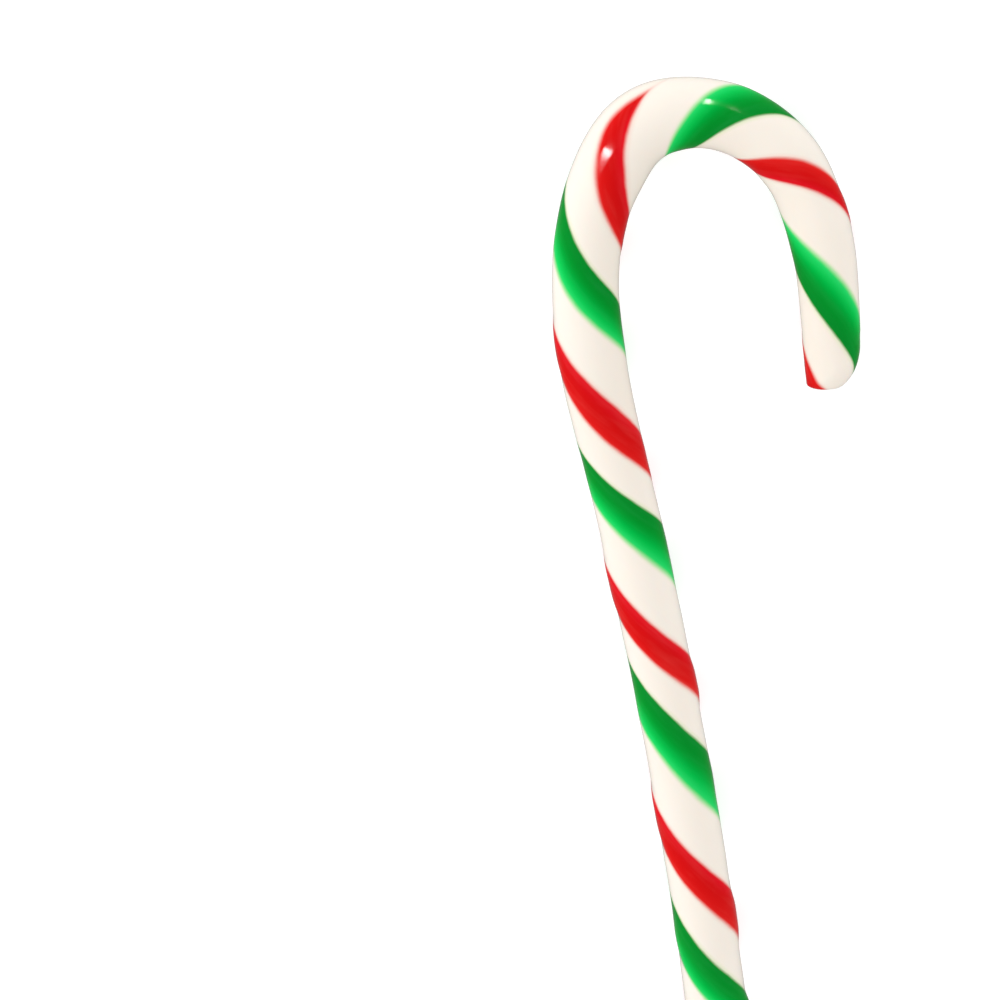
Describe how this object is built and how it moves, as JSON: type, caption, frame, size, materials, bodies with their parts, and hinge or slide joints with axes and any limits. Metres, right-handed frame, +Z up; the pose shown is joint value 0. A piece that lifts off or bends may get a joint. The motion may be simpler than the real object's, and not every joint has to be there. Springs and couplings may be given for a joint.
{
  "type": "candy cane",
  "caption": "Hard sugar candy cane lying on its side: a round stick bent into an uneven hook, creamy white with red and green spiral stripes.",
  "frame": {"origin": "on the resting plane, under the middle of the bounding box", "axes": "+Y along the stem from the foot towards the hook, +X towards the hook's tip, +Z up out of the hook's plane"},
  "size_m": [0.056, 0.1728, 0.0112],
  "materials": {
    "sugar": "glossy pulled sugar, creamy white with red and green spiral stripes"
  },
  "bodies": {
    "root": {"candy_cane": "sugar"}
  },
  "joints": []
}
